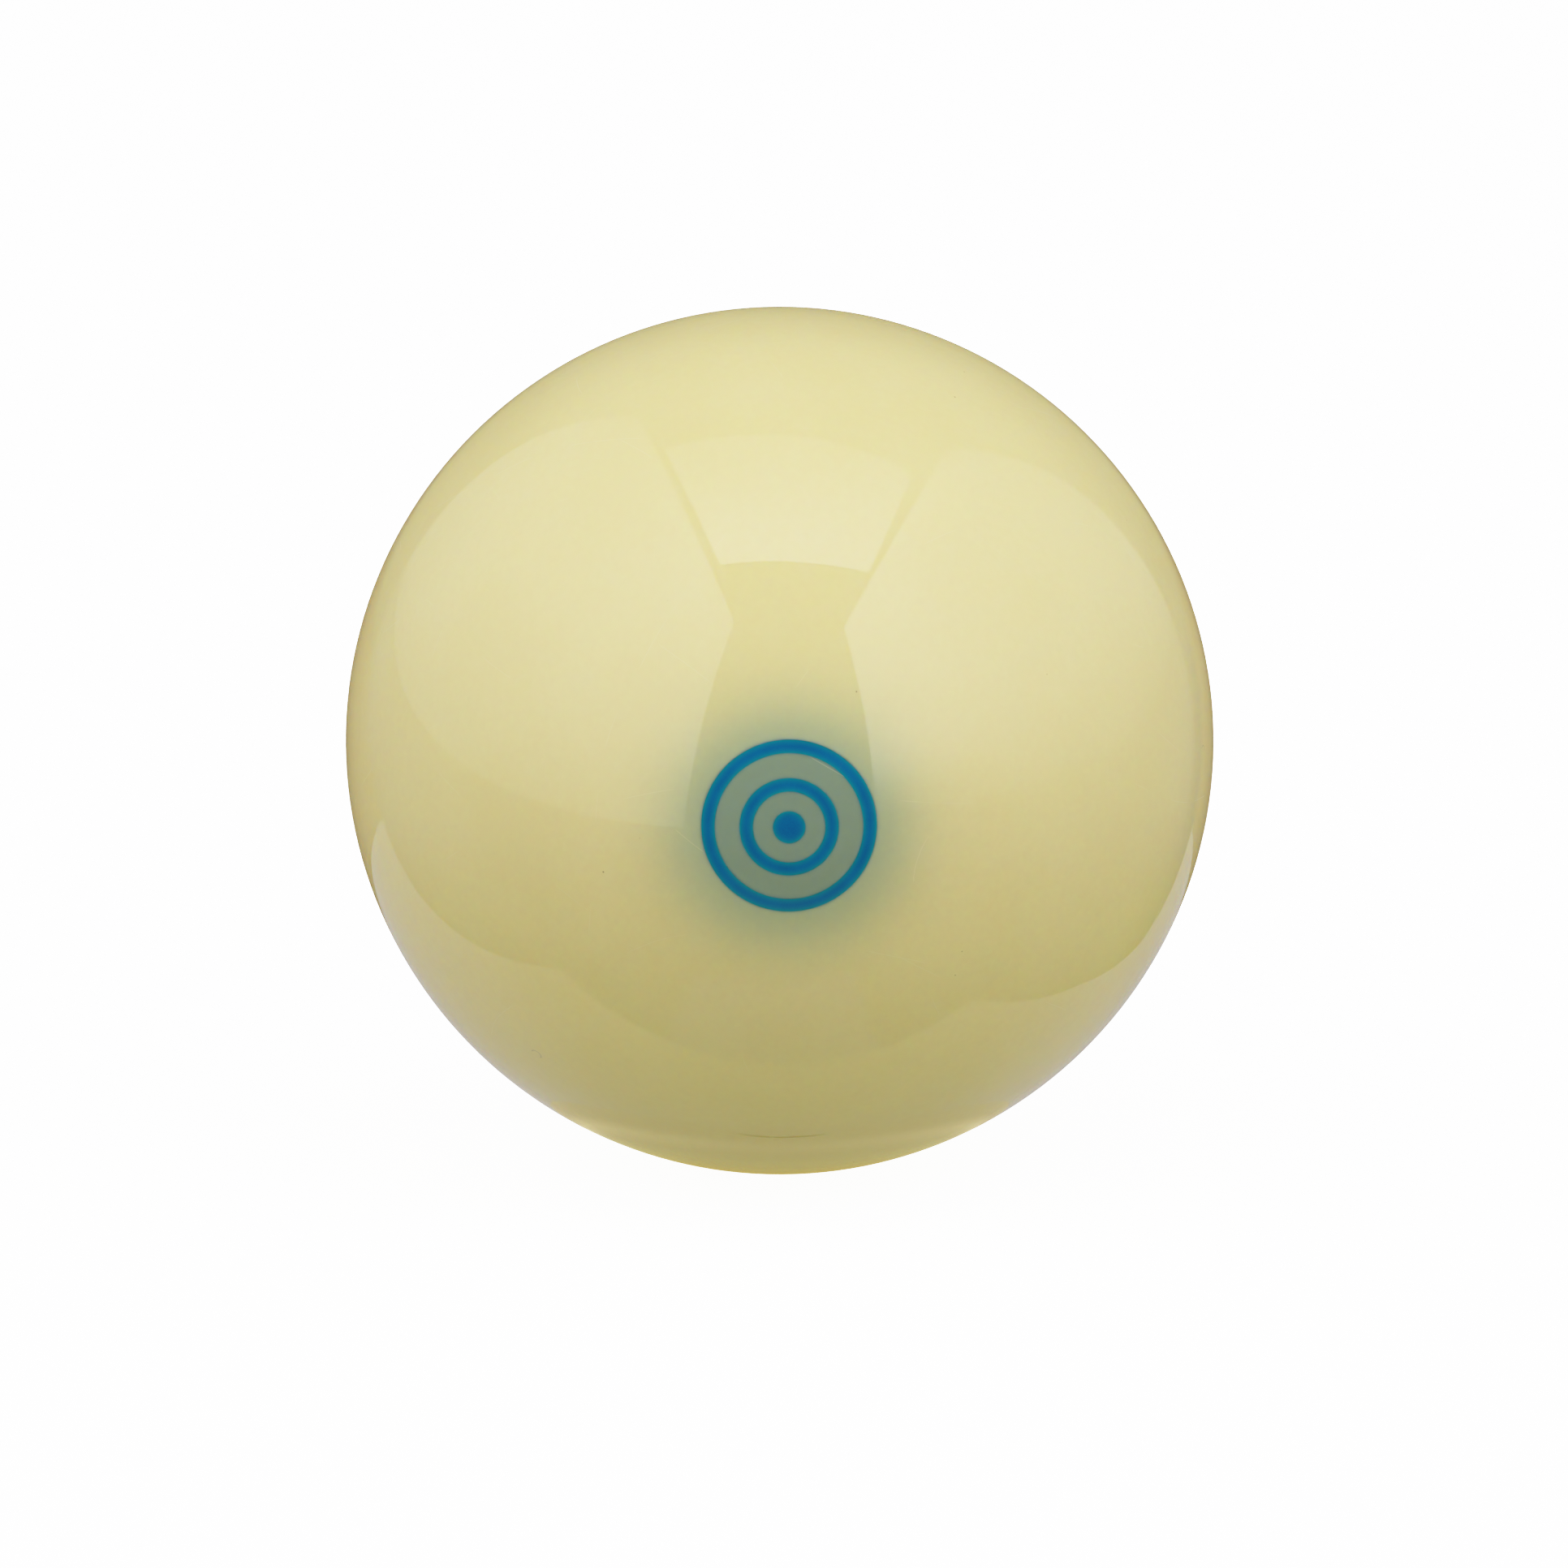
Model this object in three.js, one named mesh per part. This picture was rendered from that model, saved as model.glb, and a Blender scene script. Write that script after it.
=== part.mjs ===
// Pool cue ball: one solid casting of ivory phenolic resin, with a round aiming mark inlaid in blue resin.
//
// The mark is cut into the ball as a centre hole and two ring grooves with flat floors. Each is filled with its
// own piece of blue resin, bonded wall to wall and ground flush with the ball. Nothing on the ball moves.
//
// Part frame: millimetres, origin at the ball's centre, +Z up, and the middle of the mark on the -Y axis.
// Every piece is turned about the Y axis, so each one is a lathe profile of (distance from Y, y).

import * as THREE from "three";

// Driving dimensions
const BALL_DIAMETER = 57.15; // regulation pool ball, 2 1/4 in
const GROOVE_WIDTH = 0.8; // the diameter of the cutter that mills both rings
const CUT_DEPTH = 3; // from the ball's surface at the mark's middle to the floor of every cut
const OUTER_RING_DIAMETER = 11; // over the outside of the outer ring
const INNER_RING_DIAMETER = 6.2; // over the outside of the inner ring
const DOT_DIAMETER = 2;

// Facets
const TURNS = 72; // facets around the Y axis, a multiple of 4 so that corners lie on the X and Z axes
const ARC_STEP = Math.PI / 36; // longest step along the ball's outline

const BALL_RADIUS = BALL_DIAMETER / 2;
const FLOOR_Y = CUT_DEPTH - BALL_RADIUS;
const EQUATOR = Math.PI / 2;
const BACK_POLE = Math.PI;

const ivoryResin = new THREE.MeshStandardMaterial({ color: 0xe3dba6, roughness: 0.08, metalness: 0 });
const blueResin = new THREE.MeshStandardMaterial({ color: 0x006496, roughness: 0.08, metalness: 0 });

// The cuts, from the middle outwards, each from one distance from the axis to another.
const dot = { inner: 0, outer: DOT_DIAMETER / 2 };
const innerRing = ringCut(INNER_RING_DIAMETER);
const outerRing = ringCut(OUTER_RING_DIAMETER);

function ringCut(diameter) {
  return { inner: diameter / 2 - GROOVE_WIDTH, outer: diameter / 2 };
}

// The angle at the ball's centre between the mark's middle and a point of the surface this far from the axis.
function angleAt(distance) {
  return Math.asin(distance / BALL_RADIUS);
}

// The ball's outline between two such angles.
function outline(from, to) {
  const steps = Math.max(1, Math.ceil(Math.abs(to - from) / ARC_STEP));
  return Array.from({ length: steps + 1 }, (_, i) => {
    const angle = from + ((to - from) * i) / steps;
    return new THREE.Vector2(BALL_RADIUS * Math.sin(angle), -BALL_RADIUS * Math.cos(angle));
  });
}

function onFloor(distance) {
  return new THREE.Vector2(distance, FLOOR_Y);
}

function turned(name, profile, material) {
  const mesh = new THREE.Mesh(new THREE.LatheGeometry(profile, TURNS), material);
  mesh.name = name;
  return mesh;
}

// The ball: along the floor of the dot's hole, out over the lands between the cuts and round to the far pole.
function ballBody() {
  return turned(
    "ball_body",
    [
      onFloor(dot.inner),
      onFloor(dot.outer),
      ...outline(angleAt(dot.outer), angleAt(innerRing.inner)),
      onFloor(innerRing.inner),
      onFloor(innerRing.outer),
      ...outline(angleAt(innerRing.outer), angleAt(outerRing.inner)),
      onFloor(outerRing.inner),
      onFloor(outerRing.outer),
      ...outline(angleAt(outerRing.outer), EQUATOR),
      ...outline(EQUATOR, BACK_POLE).slice(1),
    ],
    ivoryResin,
  );
}

// The resin that fills the dot's hole.
function dotInlay() {
  const crown = outline(angleAt(dot.inner), angleAt(dot.outer));
  return turned("mark_centre_dot", [...crown, onFloor(dot.outer), onFloor(dot.inner)], blueResin);
}

// The resin that fills one ring groove.
function ringInlay(name, cut) {
  const crown = outline(angleAt(cut.inner), angleAt(cut.outer));
  return turned(name, [...crown, onFloor(cut.outer), onFloor(cut.inner), crown[0]], blueResin);
}

const cueBall = new THREE.Group();
cueBall.add(
  ballBody(),
  dotInlay(),
  ringInlay("mark_inner_ring", innerRing),
  ringInlay("mark_outer_ring", outerRing),
);

export default cueBall;
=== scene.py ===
"""A pool cue ball of polished ivory resin, with a round mark inlaid in blue resin, in a plain pale studio.

Lengths are in metres, in the CAD frame: the origin is the ball's centre, +Z is up, and the middle of the
mark is on the -Y axis. The ball and each inlay are turned about that axis, so a place in an outline is given
by its distance from the axis and its y, and a place in the mark by its distance from the axis.
"""

import math

import bpy
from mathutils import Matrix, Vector


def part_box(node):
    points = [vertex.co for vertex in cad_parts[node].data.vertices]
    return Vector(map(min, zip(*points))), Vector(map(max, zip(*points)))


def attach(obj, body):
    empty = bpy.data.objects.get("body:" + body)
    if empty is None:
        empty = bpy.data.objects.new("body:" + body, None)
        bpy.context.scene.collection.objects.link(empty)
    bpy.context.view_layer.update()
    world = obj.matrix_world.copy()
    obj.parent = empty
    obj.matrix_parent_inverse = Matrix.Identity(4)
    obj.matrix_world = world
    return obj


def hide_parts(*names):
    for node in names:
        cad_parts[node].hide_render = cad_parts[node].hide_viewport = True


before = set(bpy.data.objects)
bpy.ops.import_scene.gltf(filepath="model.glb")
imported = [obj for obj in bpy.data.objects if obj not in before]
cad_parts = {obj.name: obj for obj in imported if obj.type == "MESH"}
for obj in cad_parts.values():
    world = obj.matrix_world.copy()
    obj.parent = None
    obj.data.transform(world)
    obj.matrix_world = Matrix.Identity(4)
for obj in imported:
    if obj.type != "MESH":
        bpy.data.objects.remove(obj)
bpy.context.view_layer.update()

MM = 0.001
MICRON = 0.001 * MM
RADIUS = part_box("ball_body")[1].x
FLOOR_OF_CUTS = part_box("mark_outer_ring")[1].y  # the y at which every cut ends
STROKE_WIDTH = 0.8 * MM
DOT = "mark_centre_dot"
RINGS = ("mark_inner_ring", "mark_outer_ring")
SLOT_OF = {"ball_body": "ivory_resin"}  # slot names for pieces, blue_resin for every other one; piece() looks this up but gives no slot

TURNS = 192  # segments around the axis, a multiple of 8
ARC_STEP = math.radians(1.5)  # along the ball's outline
LAND_STEP = 0.35 * MM  # along the lands between the cuts
CAP_ANGLE = math.radians(30)  # how far the square-grid cap reaches round the far pole
EDGE_WANDER = 0.03 * MM  # how far a cut's edge strays from a true circle
EDGE_WAVES = ((2, 0.45), (3, 0.25), (5, 0.2), (11, 0.1))  # (waves in a turn, share of the wander)
FLUSH_DROP = 0.004 * MM  # how far the softer blue resin polishes below the ivory


# --------------------------------------------------------------------------------------------------
# The mark's strokes


def stroke_of(node):
    """A stroke as (its middle's distance from the axis, half its width). The dot's middle is 0."""
    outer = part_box(node)[1].x
    if node == DOT:
        return 0.0, outer
    return outer - STROKE_WIDTH / 2, STROKE_WIDTH / 2


STROKES = {node: stroke_of(node) for node in (DOT, *RINGS)}


def wander(distance, turn):
    """How far out a cut's edge, at this distance from the axis, strays at this turn about it."""
    phase = distance / MM
    return EDGE_WANDER * sum(share * math.sin(n * turn + n * phase) for n, share in EDGE_WAVES)


# --------------------------------------------------------------------------------------------------
# Meshes


def on_ball(distance):
    """The y of the ball's surface at this distance from the axis, on the mark's side."""
    return -math.sqrt(RADIUS**2 - distance**2)


def steps(start, end, longest):
    """Numbers from start to end, evenly spaced and no further apart than longest."""
    count = max(1, math.ceil(abs(end - start) / longest))
    return [start + (end - start) * i / count for i in range(count + 1)]


def swept_point(distance, y, turn):
    """The point at this distance from the Y axis, turned about it from +Z towards +X."""
    return Vector((distance * math.sin(turn), y, distance * math.cos(turn)))


def square_to_round(across, up):
    """The (share of the way out, turn) in a round cap for a place in a square from -1 to 1 each way."""
    share = max(abs(across), abs(up))
    if share == 0:
        return share, 0.0
    if abs(across) >= abs(up):
        return share, math.pi / 4 * up / across + (0 if across > 0 else math.pi)
    return share, math.pi / 2 - math.pi / 4 * across / up + (0 if up > 0 else math.pi)


class Turned:
    """A mesh made of rings about the Y axis, each TURNS points round."""

    def __init__(self):
        self.points = []
        self.faces = []
        self.last_ring = None

    def ring(self, distance, y=None, cut=False):
        """Adds a ring, joined to the one before it.

        y is None for a ring on the ball's surface, and cut says that the ring is the edge of a cut.
        """
        first = len(self.points)
        for i in range(TURNS):
            turn = math.tau * i / TURNS
            reach = distance + wander(distance, turn) if cut else distance
            self.points.append(swept_point(reach, on_ball(reach) if y is None else y, turn))
        self.join(list(range(first, first + TURNS)))

    def join(self, ring):
        """Adds the faces between the last ring and this one, which is a list of points' numbers."""
        if self.last_ring:
            for i in range(TURNS):
                after = (i + 1) % TURNS
                self.faces.append((self.last_ring[i], self.last_ring[after], ring[after], ring[i]))
        self.last_ring = ring

    def cap(self, place):
        """Fills the last ring with a square grid whose edge is that ring. A later ring joins the same ring.

        place makes a point from (share of the way out to the ring, turn).
        """
        side = TURNS // 4
        rim = self.last_ring
        index = {}
        for row in range(side + 1):
            for column in range(side + 1):
                share, turn = square_to_round(2 * column / side - 1, 2 * row / side - 1)
                if share == 1:
                    index[row, column] = rim[round(turn / math.tau * TURNS) % TURNS]
                else:
                    index[row, column] = len(self.points)
                    self.points.append(place(share, turn))
        for row in range(side):
            for column in range(side):
                self.faces.append((
                    index[row, column],
                    index[row, column + 1],
                    index[row + 1, column + 1],
                    index[row + 1, column],
                ))

    def piece(self, node, material):
        """Makes the finished object, which stands for a CAD node."""
        mesh = bpy.data.meshes.new(node + "_surface")
        mesh.from_pydata(self.points, [], self.faces)
        mesh.materials.append(material)
        obj = bpy.data.objects.new(node + "_finish", mesh)
        bpy.context.scene.collection.objects.link(obj)
        bpy.context.view_layer.objects.active = obj
        bpy.ops.object.mode_set(mode="EDIT")
        bpy.ops.mesh.select_all(action="SELECT")
        bpy.ops.mesh.normals_make_consistent(inside=False)
        bpy.ops.object.mode_set(mode="OBJECT")
        smooth_as_ball(mesh)
        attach(obj, "root")
        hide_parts(node)
        SLOT_OF.get(node, "blue_resin")


def smooth_as_ball(mesh):
    """Gives the corners of faces on the ball's surface the ball's own normals, and keeps cuts' walls flat."""
    skin = 0.05 * MM  # a face whose middle is deeper than this is a wall or a floor
    normals = []
    for face in mesh.polygons:
        on_surface = face.center.length > RADIUS - skin
        for corner in face.vertices:
            normals.append(mesh.vertices[corner].co.normalized() if on_surface else face.normal)
    mesh.shade_smooth()
    mesh.normals_split_custom_set(normals)


def flat_cap(distance):
    """The floor of a round hole, out to this distance."""
    return lambda share, turn: swept_point(share * distance, FLOOR_OF_CUTS, turn)


def crown_cap(distance, drop):
    """The ball's surface out to this distance, lowered by drop."""

    def place(share, turn):
        reach = share * distance
        return swept_point(reach, on_ball(reach) + drop, turn)

    return place


def far_cap(share, turn):
    """The ball's surface round the pole opposite the mark."""
    angle = share * CAP_ANGLE
    return swept_point(RADIUS * math.sin(angle), RADIUS * math.cos(angle), turn)


def ball_body(material):
    """The ball, from the floor of the dot's hole out over lands and grooves and round to the far pole."""
    body = Turned()
    _, land_start = STROKES[DOT]
    body.ring(land_start, FLOOR_OF_CUTS, cut=True)
    body.cap(flat_cap(land_start))
    for node in RINGS:
        middle, half = STROKES[node]
        land(body, land_start, middle - half)
        body.ring(middle - half, FLOOR_OF_CUTS, cut=True)
        body.ring(middle + half, FLOOR_OF_CUTS, cut=True)
        land_start = middle + half
    body.ring(land_start, cut=True)
    for angle in steps(math.asin(land_start / RADIUS), math.pi - CAP_ANGLE, ARC_STEP)[1:]:
        body.ring(RADIUS * math.sin(angle), -RADIUS * math.cos(angle))
    body.cap(far_cap)
    body.piece("ball_body", material)


def land(body, start, end):
    """The ball's surface between two cuts."""
    body.ring(start, cut=True)
    for distance in steps(start, end, LAND_STEP)[1:-1]:
        body.ring(distance)
    body.ring(end, cut=True)


def dot_inlay(material):
    """The fill of the dot's hole."""
    inlay = Turned()
    _, outer = STROKES[DOT]
    inlay.ring(outer, FLOOR_OF_CUTS, cut=True)
    inlay.cap(flat_cap(outer))
    inlay.ring(outer, cut=True)
    inlay.cap(crown_cap(outer, FLUSH_DROP))
    inlay.piece(DOT, material)


def ring_inlay(node, material):
    """The fill of a ring's groove: up its inner wall, over the top and down its outer wall."""
    inlay = Turned()
    middle, half = STROKES[node]
    first_ring = list(range(TURNS))
    inlay.ring(middle - half, FLOOR_OF_CUTS, cut=True)
    inlay.ring(middle - half, cut=True)
    inlay.ring(middle, on_ball(middle) + FLUSH_DROP)
    inlay.ring(middle + half, cut=True)
    inlay.ring(middle + half, FLOOR_OF_CUTS, cut=True)
    inlay.join(first_ring)
    inlay.piece(node, material)


# --------------------------------------------------------------------------------------------------
# Materials


class Nodes:
    """A material's node tree, with short ways to add to it. Inputs are sockets or constants."""

    def __init__(self, name):
        self.material = bpy.data.materials.new(name)
        self.material.use_nodes = True
        self.tree = self.material.node_tree
        self.shader = self.tree.nodes["Principled BSDF"]
        self.place = self.add("ShaderNodeTexCoord").outputs["Object"]

    def add(self, kind, inputs=None, **settings):
        """A new node with these inputs and settings."""
        node = self.tree.nodes.new(kind)
        for name, value in settings.items():
            setattr(node, name, value)
        for key, value in (inputs or {}).items():
            self.set(node.inputs[key], value)
        return node

    def set(self, socket, value):
        """Links a socket to another, or gives it a constant."""
        if isinstance(value, bpy.types.NodeSocket):
            self.tree.links.new(value, socket)
        else:
            socket.default_value = value

    def math(self, operation, a, b=0.0):
        return self.add("ShaderNodeMath", {0: a, 1: b}, operation=operation).outputs[0]

    def vector(self, operation, a, b=(0, 0, 0)):
        """A vector from ADD or SUBTRACT, or a number from LENGTH or DOT_PRODUCT."""
        outputs = self.add("ShaderNodeVectorMath", {0: a, 1: b}, operation=operation).outputs
        return outputs["Vector" if operation in ("ADD", "SUBTRACT") else "Value"]

    def noise(self, size, seed, detail=1.0):
        """Cloudy noise between 0 and 1, with features of about this size. Each seed gives its own pattern."""
        apart = (0.37, 0.73, -0.51)  # metres from one seed's pattern to the next
        moved = self.vector("ADD", self.place, tuple(seed * step for step in apart))
        inputs = {"Vector": moved, "Scale": 1 / size, "Detail": detail}
        return self.add("ShaderNodeTexNoise", inputs).outputs[0]

    def cells(self, size):
        """The Voronoi cells of this size: (distance to the middle of the cell, the middle itself)."""
        outputs = self.add("ShaderNodeTexVoronoi", {"Vector": self.place, "Scale": 1 / size}).outputs
        return self.math("MULTIPLY", outputs["Distance"], size), outputs["Position"]

    def ramp(self, value, start, end, low=0.0, high=1.0):
        """low where value is at or before start, high at or past end, and smooth between."""
        inputs = {"Value": value, "From Min": start, "From Max": end, "To Min": low, "To Max": high}
        return self.add("ShaderNodeMapRange", inputs, interpolation_type="SMOOTHSTEP").outputs["Result"]

    def mix(self, share, a, b, blend="MIX"):
        """Colour a with this share of colour b."""
        factor, first, second, result = 0, 6, 7, 2  # the node's sockets for colours
        inputs = {factor: share, first: a, second: b}
        return self.add("ShaderNodeMix", inputs, data_type="RGBA", blend_type=blend).outputs[result]

    def blend(self, value, stops):
        """A colour that passes through stops, a list of (value, colour) with values between 0 and 1."""
        node = self.add("ShaderNodeValToRGB", {0: value})
        elements = node.color_ramp.elements
        while len(elements) < len(stops):
            elements.new(1.0)
        for element, (position, colour) in zip(elements, stops):
            element.position = position
            element.color = colour
        return node.outputs[0]

    def total(self, *terms):
        """The sum of each (value, amount) pair's product."""
        result = 0.0
        for value, amount in terms:
            result = self.math("ADD", result, self.math("MULTIPLY", value, amount))
        return result

    def parts(self):
        """The "X", "Y" and "Z" of the point being shaded."""
        return self.add("ShaderNodeSeparateXYZ", {0: self.place}).outputs

    def diagonal(self, a, b):
        """The diagonal of a rectangle a by b."""
        return self.vector("LENGTH", self.add("ShaderNodeCombineXYZ", {"X": a, "Y": b}).outputs[0])

    def from_axis(self):
        """(distance from the Y axis, y) of the point being shaded."""
        parts = self.parts()
        return self.diagonal(parts["X"], parts["Z"]), parts["Y"]

    def outside(self, distance, stroke):
        """How far a point at this distance from the axis is outside a stroke, negative inside it."""
        middle, half = stroke
        off_middle = self.math("ABSOLUTE", self.math("SUBTRACT", distance, middle))
        return self.math("SUBTRACT", off_middle, half)


BLACK = (0, 0, 0, 1)
WHITE = (1, 1, 1, 1)
PALE_IVORY = (0.89, 0.785, 0.405, 1)
DEEP_IVORY = (0.87, 0.763, 0.381, 1)
SPECK = (0.3, 0.22, 0.1, 1)
FIBRE = (0.55, 0.5, 0.33, 1)
SCUFF = (0.95, 0.88, 0.6, 1)
BLUE = (0.0, 0.152, 0.385, 1)
DEEP_BLUE = (0.0, 0.124, 0.345, 1)
# painted light: the teal glow along the strokes' edges, in the blue and in the ivory beside it
TEAL = (0.0, 0.3, 0.34, 1)

MARK_SHADE = (0.58, 0.725, 0.885)  # painted shade: the share of the ivory's red, green and blue that is left right beside a wall
SHUT_IN = 0.85  # more painted shade: the share of all three that is left between two walls, which keep the light out
MARK_SHADE_REACH = 2.75 * MM  # how far from a wall the painted shade falls to about a third
MARK_SHADE_SHAPE = 1.5  # above 1, the painted shade holds on near the wall and then lets go sooner
TEAL_INSIDE = 0.15 * MM  # how far into a stroke its lighter edge, painted light, falls to about a third
TEAL_OUTSIDE = 0.05 * MM  # how far into the ivory the same painted glow shows through


def fall(nodes, distance, reach):
    """1 at no distance, falling to about a third each time distance grows by reach."""
    return nodes.math("EXPONENT", nodes.math("DIVIDE", distance, -reach))


def nearest_wall(nodes, distance, side):
    """How strongly the nearest wall of blue on one side darkens a point at this distance from the axis, as
    painted shade.

    side is 1 for the walls nearer the axis than the point and -1 for those further out. The nearest one
    hides those behind it.
    """
    nearest = 0.0
    for middle, half in STROKES.values():
        past_middle = nodes.math("MULTIPLY", nodes.math("SUBTRACT", distance, middle), side)
        gap = nodes.math("SUBTRACT", past_middle, half)
        reaches = nodes.math("DIVIDE", nodes.math("MAXIMUM", gap, 0.0), MARK_SHADE_REACH)
        strength = fall(nodes, nodes.math("POWER", reaches, MARK_SHADE_SHAPE), 1.0)
        wall = nodes.math("MULTIPLY", strength, nodes.math("GREATER_THAN", gap, 0.0))
        nearest = nodes.math("MAXIMUM", nearest, wall)
    return nearest


def painted_mark_shade(nodes, colour):
    """Painted shade on the ivory near the mark, where blue walls below the surface drink the light that
    enters the resin.
    """
    distance, y = nodes.from_axis()
    on_front = nodes.math("LESS_THAN", y, 0.0)
    inner = nodes.math("MULTIPLY", nearest_wall(nodes, distance, 1.0), on_front)
    outer = nodes.math("MULTIPLY", nearest_wall(nodes, distance, -1.0), on_front)
    amount = nodes.math("ADD", inner, outer)
    shade = nodes.math("POWER", SHUT_IN, nodes.math("MULTIPLY", inner, outer))
    tint = nodes.add("ShaderNodeCombineColor")
    for part, share in zip(tint.inputs, MARK_SHADE):
        nodes.set(part, nodes.math("MULTIPLY", nodes.math("POWER", share, amount), shade))
    return nodes.mix(1.0, colour, tint.outputs[0], blend="MULTIPLY")


def painted_edge_glow(nodes, colour):
    """Painted light: the teal glow that shows through the ivory along the very edge of each stroke."""
    distance, y = nodes.from_axis()
    edge_glow = 0.0
    for stroke in STROKES.values():
        gap = nodes.math("MAXIMUM", nodes.outside(distance, stroke), 0.0)
        edge_glow = nodes.math("MAXIMUM", edge_glow, fall(nodes, gap, TEAL_OUTSIDE))
    on_front = nodes.math("LESS_THAN", y, 0.0)
    return nodes.mix(nodes.math("MULTIPLY", edge_glow, on_front), colour, TEAL)


def clouded(nodes, pale, deep, size, seed):
    """A colour that drifts between two others, in clouds of this size with a finer grain in them."""
    broad = nodes.noise(size, seed)
    fine = nodes.noise(size / 15, seed + 1)
    share = nodes.ramp(nodes.total((broad, 0.65), (fine, 0.35)), 0.32, 0.68)
    return nodes.mix(share, pale, deep)


def specks(nodes, spacing, radius):
    """Where the surface cuts through sparse dark grains in the resin."""
    distance, _ = nodes.cells(spacing)
    return nodes.ramp(distance, 0.5 * radius, radius, 1.0, 0.0)


def fibres(nodes, spacing, bend, width):
    """Tiny curved hairs cast into the resin: arcs, of radius bend, of circles about the middles of cells."""
    towards = (0.6, 0.1, 0.8)  # the side of each circle that is kept
    distance, middle = nodes.cells(spacing)
    off_circle = nodes.math("ABSOLUTE", nodes.math("SUBTRACT", distance, bend))
    on_line = nodes.ramp(off_circle, 0.3 * width, 0.5 * width, 1.0, 0.0)
    along = nodes.vector("DOT_PRODUCT", nodes.vector("SUBTRACT", nodes.place, middle), towards)
    return nodes.math("MULTIPLY", on_line, nodes.math("GREATER_THAN", along, 0.45 * bend))


def scratch_direction(number):
    """The direction that one family of scratches lies square to, well apart from the other families'."""
    across = Vector((math.sin(2.4 * number), math.cos(2.4 * number), 1.5 * math.cos(1.7 * number)))
    return tuple(across.normalized())


def hairlines(nodes, directions, spacing, width):
    """Fine scratches in the polish: arcs where evenly spaced planes cut the ball, most of each rubbed out."""
    marks = 0.0
    bend = nodes.math("MULTIPLY", nodes.noise(14 * MM, seed=30), 3 * MM)
    for number in range(directions):
        along = nodes.vector("DOT_PRODUCT", nodes.place, scratch_direction(number))
        share = nodes.math("FRACT", nodes.math("DIVIDE", nodes.math("ADD", along, bend), spacing))
        off_middle = nodes.math("ABSOLUTE", nodes.math("SUBTRACT", share, 0.5))
        off_plane = nodes.math("MULTIPLY", off_middle, spacing)
        # Where a plane only grazes the ball, a short way from it is a long way along the surface. The 1.01,
        # in place of 1, keeps the slope from reaching 0.
        cosine = nodes.math("DIVIDE", along, RADIUS)
        slope = nodes.math("SQRT", nodes.math("SUBTRACT", 1.01, nodes.math("MULTIPLY", cosine, cosine)))
        off_line = nodes.math("DIVIDE", off_plane, slope)
        on_line = nodes.ramp(off_line, 0.2 * width, 0.5 * width, 1.0, 0.0)
        kept = nodes.ramp(nodes.noise(4 * MM, seed=40 + number, detail=0.0), 0.62, 0.7)
        marks = nodes.math("MAXIMUM", marks, nodes.math("MULTIPLY", on_line, kept))
    return marks


def bump(nodes, height):
    """Sets the shader's normal from a height in metres."""
    normal = nodes.add("ShaderNodeBump", {"Height": height, "Distance": 1.0}).outputs[0]
    nodes.set(nodes.shader.inputs["Normal"], normal)


def polished(nodes, gloss, dullest, smudge_size, scratches):
    """Roughness from gloss to dullest in smudges, and more in the scratches."""
    smudges = nodes.ramp(nodes.noise(smudge_size, seed=50, detail=3.0), 0.45, 0.75, gloss, dullest)
    nodes.set(nodes.shader.inputs["Roughness"], nodes.total((smudges, 1.0), (scratches, 0.2)))


def ivory_resin():
    """Translucent ivory under a clear polish."""
    nodes = Nodes("ivory_resin_finish")
    grains = specks(nodes, spacing=3 * MM, radius=0.08 * MM)
    hairs = fibres(nodes, spacing=8.5 * MM, bend=0.45 * MM, width=0.09 * MM)
    scratches = hairlines(nodes, directions=3, spacing=8 * MM, width=0.07 * MM)
    colour = clouded(nodes, PALE_IVORY, DEEP_IVORY, size=9 * MM, seed=1)
    # Painted shade near the mark, where light in the resin is lost into the blue walls below, and a painted
    # teal glow along each stroke's edge.
    colour = painted_edge_glow(nodes, painted_mark_shade(nodes, colour))
    for mask, amount, stuff in ((grains, 0.6, SPECK), (hairs, 0.5, FIBRE), (scratches, 0.25, SCUFF)):
        colour = nodes.mix(nodes.math("MULTIPLY", mask, amount), colour, stuff)
    nodes.set(nodes.shader.inputs["Base Color"], colour)
    polished(nodes, gloss=0.02, dullest=0.05, smudge_size=8 * MM, scratches=scratches)
    waves = nodes.noise(9 * MM, seed=10, detail=0.0)
    peel = nodes.noise(0.7 * MM, seed=11, detail=0.0)
    bump(nodes, nodes.total((waves, 6 * MICRON), (peel, 0.15 * MICRON), (scratches, -1 * MICRON)))
    nodes.set(nodes.shader.inputs["IOR"], 1.5)
    nodes.set(nodes.shader.inputs["Subsurface Weight"], 1.0)
    nodes.set(nodes.shader.inputs["Subsurface Radius"], (1.0, 0.75, 0.3))
    nodes.set(nodes.shader.inputs["Subsurface Scale"], 1.0 * MM)
    return nodes.material


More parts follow.
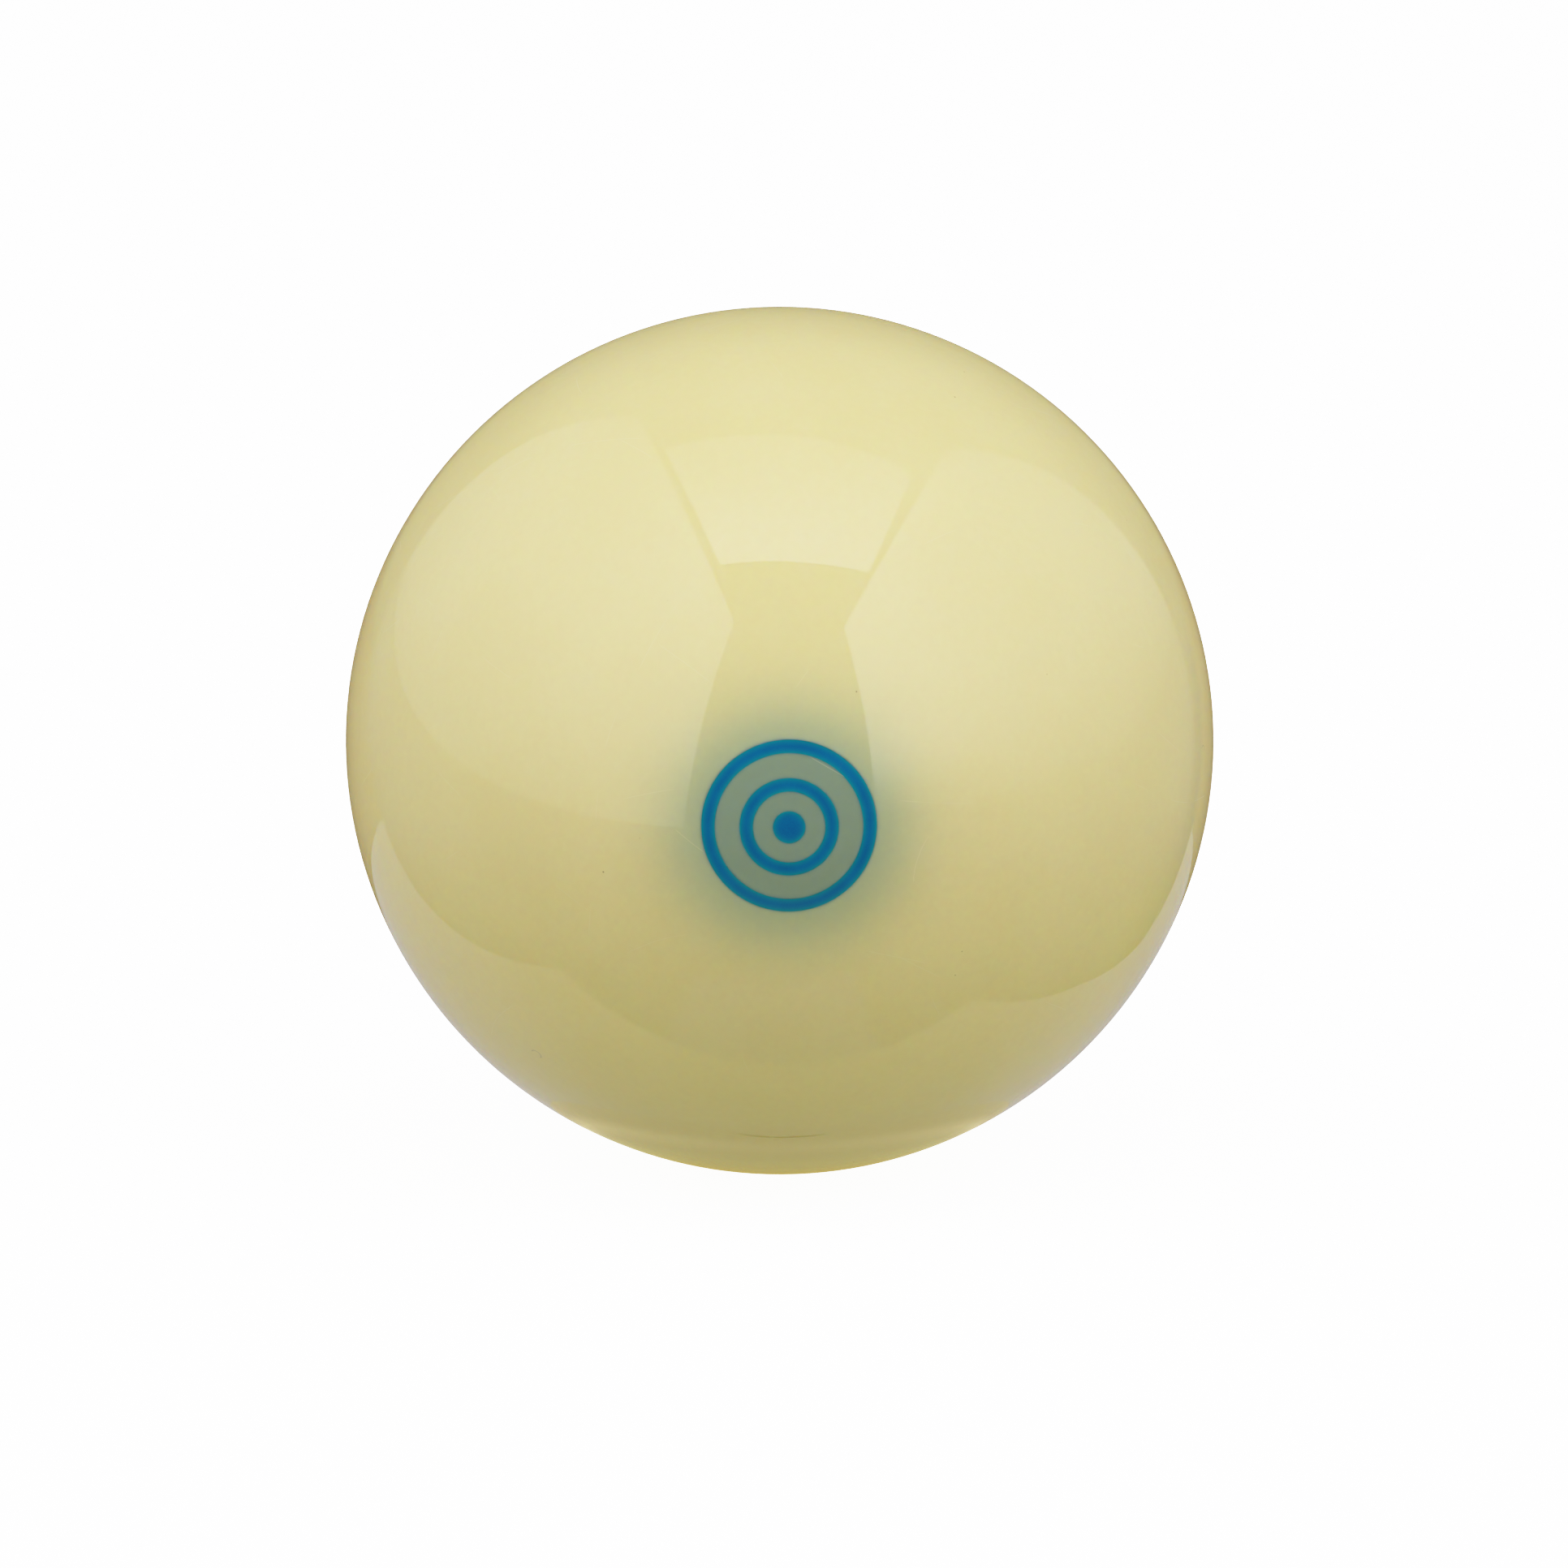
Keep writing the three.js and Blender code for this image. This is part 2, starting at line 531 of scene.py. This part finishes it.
def blue_resin(node):
    """The blue of one stroke of the mark, with painted light: lighter and greener along the stroke's edges,
    where light comes in through the ivory.
    """
    nodes = Nodes(node + "_resin")
    distance, _ = nodes.from_axis()
    in_from_edge = nodes.math("MULTIPLY", nodes.outside(distance, STROKES[node]), -1.0)
    edge_share = fall(nodes, nodes.math("MAXIMUM", in_from_edge, 0.0), TEAL_INSIDE)
    colour = nodes.mix(edge_share, clouded(nodes, BLUE, DEEP_BLUE, size=1.5 * MM, seed=3), TEAL)
    nodes.set(nodes.shader.inputs["Base Color"], colour)
    scratches = hairlines(nodes, directions=2, spacing=2.5 * MM, width=0.05 * MM)
    polished(nodes, gloss=0.04, dullest=0.1, smudge_size=2 * MM, scratches=scratches)
    peel = nodes.noise(0.5 * MM, seed=12)
    bump(nodes, nodes.total((peel, 0.4 * MICRON), (scratches, -1 * MICRON)))
    nodes.set(nodes.shader.inputs["IOR"], 1.5)
    return nodes.material


# --------------------------------------------------------------------------------------------------
# Studio
#
# Each light is a flat sheet whose outline and fades are given in units of its distance from the ball, so that
# it can move nearer or further and still light the ball from the same directions.


def emitter(name, colour, radiance, cover):
    """A material that only gives out light, and is clear where cover is 0.

    colour, radiance and cover are each a value, or a function that makes a socket for it.
    """
    nodes = Nodes(name)
    nodes.set(nodes.shader.inputs["Base Color"], BLACK)
    nodes.set(nodes.shader.inputs["Specular IOR Level"], 0.0)
    for socket, value in (("Emission Color", colour), ("Emission Strength", radiance), ("Alpha", cover)):
        nodes.set(nodes.shader.inputs[socket], value(nodes) if callable(value) else value)
    return nodes.material


def fading(unit, brightest, part, start, end, least, foot=None):
    """Radiance that falls along one axis, from brightest at start to a share of it, least, at end.

    foot is (low, high, share): below the height high it also falls, to that share at low. The places are
    in units of the sheet's distance from the ball, which is unit.
    """

    def make(nodes):
        parts = nodes.parts()
        radiance = nodes.ramp(parts[part], start * unit, end * unit, brightest, brightest * least)
        if foot:
            low, high, share = foot
            dimming = nodes.ramp(parts["Z"], low * unit, high * unit, share, 1.0)
            radiance = nodes.math("MULTIPLY", radiance, dimming)
        return radiance

    return make


def light_sheet(name, corners, radiance, colour=WHITE, cover=1.0):
    """A flat sheet of light that the camera doesn't see. It lights both its sides."""
    mesh = bpy.data.meshes.new(name)
    mesh.from_pydata(corners, [], [tuple(range(len(corners)))])
    mesh.materials.append(emitter(name + "_light", colour, radiance, cover))
    sheet = bpy.data.objects.new(name, mesh)
    bpy.context.scene.collection.objects.link(sheet)
    sheet.visible_camera = False
    return sheet


def side_sheet(name, x, outline, radiance):
    """An upright sheet beside the ball, at this x, from an outline of (y, z)."""
    corners = [(x, y * abs(x), z * abs(x)) for y, z in outline]
    return light_sheet(name, corners, radiance)


def level_sheet(name, z, outline, radiance, colour=WHITE, cover=1.0):
    """A level sheet above or below the ball, at this z, from an outline of (x, y)."""
    corners = [(x * abs(z), y * abs(z), z) for x, y in outline]
    return light_sheet(name, corners, radiance, colour, cover)


def oval(across, along):
    """The outline of an oval about the origin, from half its size in each direction."""
    turns = steps(0, math.tau, math.tau / 48)[1:]
    return [(across * math.cos(turn), along * math.sin(turn)) for turn in turns]


def only_in_polish(sheet):
    """Makes a sheet show in the ball's polish and light nothing."""
    sheet.visible_diffuse = False
    sheet.visible_shadow = False
    sheet.data.materials[0].cycles.emission_sampling = "NONE"


def not_in_polish(sheet):
    """Makes a sheet light the ball without showing in its polish."""
    sheet.visible_glossy = False
    sheet.visible_shadow = False


def left_light():
    """A large softbox, brightest towards the camera, and the table beyond its foot, which fades downwards."""
    x = -0.9
    outline = [(-3.43, 3.18), (1.2, 2.17), (1.47, 0.2), (-2.05, -0.48)]
    glow = fading(-x, brightest=2.05, part="Y", start=-1.7, end=1.5, least=0.27, foot=(-0.3, 0.5, 0.5))
    side_sheet("left_light", x, outline, glow)
    table = [(-2.05, -0.49), (1.47, 0.19), (1.47, -2.7), (-1.81, -2.7)]
    side_sheet("left_table", x, table, fading(-x, brightest=0.3, part="Z", start=0.0, end=-1.1, least=0.0))


def right_light():
    """A smaller softbox, further off, and the table beyond its foot."""
    x = 1.2
    outline = [(-2.8, 2.46), (0.6, 1.64), (1.2, 0.08), (-2.3, -0.35)]
    glow = fading(x, brightest=2.4, part="Y", start=-1.4, end=0.9, least=0.25, foot=(-0.3, 0.35, 0.2))
    side_sheet("right_light", x, outline, glow)
    table = [(-2.3, -0.36), (1.2, 0.07), (1.2, -2.7), (-1.64, -2.7)]
    side_sheet("right_table", x, table, fading(x, brightest=0.3, part="Z", start=0.0, end=-1.1, least=0.0))


def top_light():
    """A small softbox above, brightest towards the camera."""
    z = 2.4
    outline = [(-0.305, -0.6), (0.445, -0.63), (0.5, 0.075), (-0.4, 0.2)]
    glow = fading(z, brightest=3.0, part="Y", start=-0.6, end=0.18, least=0.28)
    level_sheet("top_light", z, outline, glow)


# What the polish shows of the table under the ball. The sheets lie about a radius below the ball's middle, so
# their outlines, each a list of (x, y), are nearly in radii.
PAPER_EDGE = [
    (-1.13, -0.87),
    (0.83, -0.87),
    (1.25, -0.22),
    (1.58, 0.55),
    (2.57, 2.3),
    (-1.7, 2.1),
    (-3.2, 1.92),
]
PATCH_EDGE = [(-0.46, -1.37), (0.36, -1.37), (0.36, -0.87), (-0.46, -0.87)]
FAR_EDGE = [(1.58, 0.55), (20, 33), (-20, 26.6), (-3.2, 1.92)]
PAPER_COLOURS = [
    # (y in radii + 1) / 2, and the colour there
    (0.1, (0.84, 0.78, 0.42, 1)),
    (0.4, (0.70, 0.66, 0.64, 1)),
    (0.8, (0.57, 0.54, 0.57, 1)),
]
PATCH_COLOUR = (0.38, 0.41, 0.33, 1)
TABLE_COLOUR = (0.24, 0.27, 0.02, 1)
TABLE_FADE = (1.6, 3.5)  # the distances in radii between which the table fades out
FAR_COLOUR = (0.33, 0.25, 0.12, 1)
SHADOW_COLOURS = [
    # distance from where the ball stands, in radii, and the colour there
    (0.20, (0.62, 0.48, 0.15, 1)),
    (0.32, (0.68, 0.60, 0.30, 1)),
    (0.38, (0.70, 0.61, 0.36, 1)),
    (0.44, (0.95, 0.82, 0.52, 1)),
    (0.49, (0.72, 0.62, 0.42, 1)),
    (0.55, (0.74, 0.65, 0.48, 1)),
]
SHADOW_WIDTH = 0.62  # half, in radii
SHADOW_LENGTH = 0.55  # half, in radii
DARK_LINE_Y = -0.497  # in radii, where a thin dark line lies across the front of the shadow
DARK_LINE_WIDTH = 0.13  # half, in radii
DARK_LINE_LENGTH = 0.004  # half, in radii
DARK_LINE_COLOUR = (0.2, 0.16, 0.08, 1)


def table_cover(nodes):
    """Full near the ball, and gone where TABLE_FADE ends."""
    start, end = TABLE_FADE
    parts = nodes.parts()
    distance = nodes.diagonal(parts["X"], parts["Y"])
    return nodes.ramp(distance, start * RADIUS, end * RADIUS, 1.0, 0.0)


def paper_colour(nodes):
    """Bright and warm in front of the ball, which throws light down on it, and greyer behind."""
    share = nodes.math("DIVIDE", nodes.math("ADD", nodes.parts()["Y"], RADIUS), 2 * RADIUS)
    return nodes.blend(share, PAPER_COLOURS)


def shadow_colour(nodes):
    """Light that has been through the ball's foot: a bright ring, and deeper yellow towards its middle."""
    parts = nodes.parts()
    across = nodes.math("MULTIPLY", parts["X"], SHADOW_LENGTH / SHADOW_WIDTH)
    distance = nodes.diagonal(across, parts["Y"])
    return nodes.blend(nodes.math("DIVIDE", distance, RADIUS), SHADOW_COLOURS)


def floor_in_polish():
    """A sheet of white paper on brown wood with the ball's own shadow on it, each a little above the last."""
    reach = TABLE_FADE[1]
    shadow_edge = oval(SHADOW_WIDTH, SHADOW_LENGTH)
    dark_line_edge = [(x, DARK_LINE_Y + y) for x, y in oval(DARK_LINE_WIDTH, DARK_LINE_LENGTH)]
    sheets = (
        level_sheet("table", -1.03 * RADIUS, oval(reach, reach), 1.0, TABLE_COLOUR, table_cover),
        level_sheet("far_table", -1.01 * RADIUS, FAR_EDGE, 1.0, FAR_COLOUR),
        level_sheet("lit_sheet", -RADIUS, PAPER_EDGE, 1.0, paper_colour),
        level_sheet("lit_patch", -RADIUS, PATCH_EDGE, 1.0, PATCH_COLOUR),
        level_sheet("warm_shadow", -0.999 * RADIUS, shadow_edge, 1.0, shadow_colour),
        level_sheet("dark_line", -0.998 * RADIUS, dark_line_edge, 1.0, DARK_LINE_COLOUR),
    )
    for sheet in sheets:
        only_in_polish(sheet)


WALL_COLOUR = (0.4, 0.36, 0.19, 1)
WALL_Y = 0.95
WALL_TOP = 0.55
WALL_HALF_WIDTH = 0.9
WALL_FADE_START = 0.3  # from the wall's middle, across


def wall_cover(nodes):
    """Full at the middle of the wall's foot, and gone at its top and both its sides."""
    parts = nodes.parts()
    low = nodes.ramp(parts["Z"], 0.0, WALL_TOP, 1.0, 0.0)
    off_middle = nodes.math("ABSOLUTE", parts["X"])
    middle = nodes.ramp(off_middle, WALL_FADE_START, WALL_HALF_WIDTH, 1.0, 0.0)
    return nodes.math("MULTIPLY", low, middle)


def far_wall():
    """The warm room behind the ball, which the outermost rim of its polish shows."""
    corners = [
        (-WALL_HALF_WIDTH, WALL_Y, -RADIUS),
        (WALL_HALF_WIDTH, WALL_Y, -RADIUS),
        (WALL_HALF_WIDTH, WALL_Y, WALL_TOP),
        (-WALL_HALF_WIDTH, WALL_Y, WALL_TOP),
    ]
    only_in_polish(light_sheet("far_wall", corners, 1.0, WALL_COLOUR, wall_cover))


def back_light():
    """A round light behind the ball for the side that the photograph doesn't show."""
    y, half_width, middle = 1.2, 0.4, -0.06
    corners = [(half_width * across, y, middle + half_width * up) for across, up in oval(1, 1)]
    not_in_polish(light_sheet("back_light", corners, radiance=2.4))


BOUNCE_COLOUR = (1, 1, 0.48, 1)
BOUNCE_REACH = 2.2  # in radii


def bounce():
    """The light that comes up from the floor all round, warmed by the ball."""
    edge = oval(BOUNCE_REACH, BOUNCE_REACH)
    not_in_polish(level_sheet("bounce", -1.02 * RADIUS, edge, radiance=0.315, colour=BOUNCE_COLOUR))


def air():
    """A little grey light from everywhere."""
    world = bpy.data.worlds.new("studio_air")
    world.use_nodes = True
    world.node_tree.nodes["Background"].inputs["Color"].default_value = (0.12, 0.12, 0.12, 1)
    bpy.context.scene.world = world


def floor_paper():
    """White paper that glows, so that it shows as pure white."""
    material = bpy.data.materials.new("pale_paper")
    material.use_nodes = True
    shader = material.node_tree.nodes["Principled BSDF"]
    shader.inputs["Base Color"].default_value = (0.8, 0.8, 0.8, 1)
    shader.inputs["Roughness"].default_value = 1.0
    shader.inputs["Specular IOR Level"].default_value = 0.0
    shader.inputs["Emission Color"].default_value = WHITE
    shader.inputs["Emission Strength"].default_value = 1.8
    return material


FLOOR_REACH = 1.6  # the radius of its flat part
BACKDROP_BEND = 0.8  # the radius that it sweeps up with
BACKDROP_ANGLE = math.radians(80)  # how steep it gets
FLOOR_TURNS = 96  # segments around the Z axis


def floor():
    """A round floor that sweeps up all round into a low backdrop. Only the camera sees it."""
    outline = [(distance, -RADIUS) for distance in steps(0, FLOOR_REACH, FLOOR_REACH / 8)[1:]]
    for angle in steps(0, BACKDROP_ANGLE, BACKDROP_ANGLE / 24)[1:]:
        rise = BACKDROP_BEND * (1 - math.cos(angle))
        outline.append((FLOOR_REACH + BACKDROP_BEND * math.sin(angle), -RADIUS + rise))
    points = [(0, 0, -RADIUS)]
    faces = []
    for distance, z in outline:
        for i in range(FLOOR_TURNS):
            turn = math.tau * i / FLOOR_TURNS
            points.append((distance * math.cos(turn), distance * math.sin(turn), z))
    for i in range(FLOOR_TURNS):
        after = (i + 1) % FLOOR_TURNS
        faces.append((0, 1 + i, 1 + after))
        for k in range(len(outline) - 1):
            low = 1 + k * FLOOR_TURNS
            high = low + FLOOR_TURNS
            faces.append((low + i, high + i, high + after, low + after))
    mesh = bpy.data.meshes.new("floor")
    mesh.from_pydata(points, [], faces)
    mesh.shade_smooth()
    mesh.materials.append(floor_paper())
    obj = bpy.data.objects.new("floor", mesh)
    bpy.context.scene.collection.objects.link(obj)
    obj.visible_diffuse = False
    obj.visible_glossy = False
    obj.visible_shadow = False
    obj.visible_transmission = False


SHOULDER = 0.5  # radiance up to this is shown as it is, and brighter light closes in on white
BRIGHTEST = 5.0  # radiance that is shown as pure white


def tone():
    """A camera's soft shoulder, as a curve on the light before it is shown."""
    view = bpy.context.scene.view_settings
    view.view_transform = "Standard"
    view.use_curve_mapping = True
    mapping = view.curve_mapping
    mapping.clip_max_x = BRIGHTEST
    mapping.clip_max_y = BRIGHTEST
    mapping.extend = "HORIZONTAL"
    red, green, blue, combined = mapping.curves
    for channel in (red, green, blue):
        channel.points[-1].location = (BRIGHTEST, BRIGHTEST)
        for point in channel.points:
            point.handle_type = "VECTOR"
    room = 1.0 - SHOULDER
    points = combined.points
    points[0].location = (0, 0)
    points[-1].location = (BRIGHTEST, 1.0)
    for share in steps(0, 1, 0.05)[:-1]:
        # Squared, so that the curve's points lie closer together near the shoulder, where it bends most.
        radiance = SHOULDER + (BRIGHTEST - SHOULDER) * share**2
        points.new(radiance, SHOULDER + room * (1 - math.exp((SHOULDER - radiance) / room)))
    for point in points:
        point.handle_type = "VECTOR"
    mapping.update()


CAMERA_AZIMUTH = math.radians(-1.2)  # from the mark's axis
CAMERA_ELEVATION = math.radians(11)
CAMERA_DISTANCE = 0.6
CAMERA_LENS = 209  # in mm
AIM_RIGHT = 0.01 * RADIUS  # where the camera points, from the ball's middle
AIM_DOWN = 0.1 * RADIUS


def camera():
    """Looks at the ball almost straight from the front, from a little above level."""
    back = Vector((
        math.sin(CAMERA_AZIMUTH) * math.cos(CAMERA_ELEVATION),
        -math.cos(CAMERA_AZIMUTH) * math.cos(CAMERA_ELEVATION),
        math.sin(CAMERA_ELEVATION),
    ))
    right = Vector((math.cos(CAMERA_AZIMUTH), math.sin(CAMERA_AZIMUTH), 0))
    up = back.cross(right)
    place = back * CAMERA_DISTANCE
    aim = right * AIM_RIGHT - up * AIM_DOWN
    data = bpy.data.cameras.new("camera")
    data.lens = CAMERA_LENS
    obj = bpy.data.objects.new("camera", data)
    obj.location = place
    obj.rotation_mode = "QUATERNION"
    obj.rotation_quaternion = (aim - place).to_track_quat("-Z", "Y")
    bpy.context.scene.collection.objects.link(obj)
    bpy.context.scene.camera = obj


camera()
ball_body(ivory_resin())
dot_inlay(blue_resin(DOT))
for ring in RINGS:
    ring_inlay(ring, blue_resin(ring))
left_light()
right_light()
top_light()
floor_in_polish()
far_wall()
back_light()
bounce()
air()
floor()
tone()
